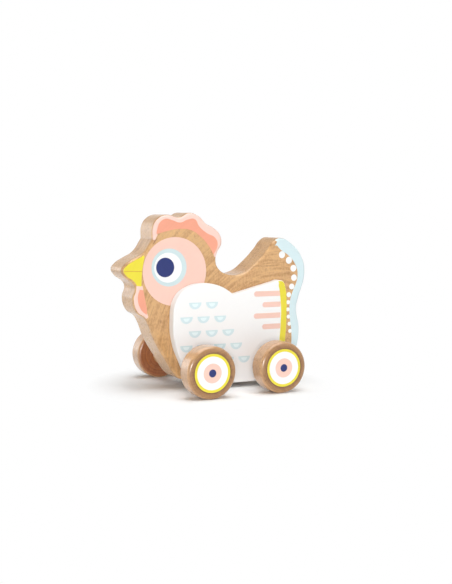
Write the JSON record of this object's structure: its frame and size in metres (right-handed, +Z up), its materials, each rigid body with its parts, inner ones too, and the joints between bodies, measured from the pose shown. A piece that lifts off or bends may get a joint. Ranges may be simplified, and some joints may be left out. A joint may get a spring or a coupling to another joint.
{
  "type": "wooden push toy",
  "caption": "Wooden push-along hen on wheels: beech body board, white wing panels, axles that turn with their wheels, and a pin drum that plucks a tone comb.",
  "frame": {"origin": "on the floor under the middle of the toy's length and width", "axes": "+Z up, the beak points to -X and the tail to +X, the hen's left side is -Y and its right side +Y"},
  "size_m": [0.1454, 0.105, 0.1248],
  "materials": {
    "beech": "sanded and oiled beech, clear matt",
    "turned_beech": "turned and oiled beech, satin",
    "dowel_beech": "plain beech dowel",
    "white_paint": "satin white paint on board",
    "steel": "bright drawn steel",
    "spring_steel": "ground spring steel",
    "brass": "turned brass",
    "zinc": "die-cast, plain",
    "nylon": "natural nylon",
    "print_coral": "printed matt paint",
    "print_pink": "printed matt paint",
    "print_yellow": "printed matt paint",
    "print_navy": "printed matt paint",
    "print_blue": "printed matt paint",
    "print_white": "printed matt paint"
  },
  "bodies": {
    "body": {"hen_body": "beech", "wing_panel_left": "white_paint", "wing_panel_right": "white_paint", "panel_dowel_front": "dowel_beech", "panel_dowel_middle": "dowel_beech", "panel_dowel_rear": "dowel_beech", "bearing_front_left": "beech", "bearing_front_right": "beech", "bearing_rear_left": "beech", "bearing_rear_right": "beech", "tone_comb": "spring_steel", "comb_block": "zinc", "comb_clamp": "zinc", "comb_screw_left": "steel", "comb_screw_right": "steel"},
    "front_wheels": {"front_axle": "steel", "wheel_front_left": "turned_beech", "wheel_front_right": "turned_beech", "washer_front_left": "nylon", "washer_front_right": "nylon"},
    "rear_wheels": {"rear_axle": "steel", "wheel_rear_left": "turned_beech", "wheel_rear_right": "turned_beech", "washer_rear_left": "nylon", "washer_rear_right": "nylon", "pin_drum": "brass"}
  },
  "joints": [
    {"name": "front_wheels_roll", "type": "hinge", "parent": "body", "child": "front_wheels", "pos_m": [-0.0231, 0, 0.018], "axis": [0, 1, 0], "continuous": true},
    {"name": "rear_wheels_roll", "type": "hinge", "parent": "body", "child": "rear_wheels", "pos_m": [0.0319, 0, 0.018], "axis": [0, 1, 0], "continuous": true}
  ]
}
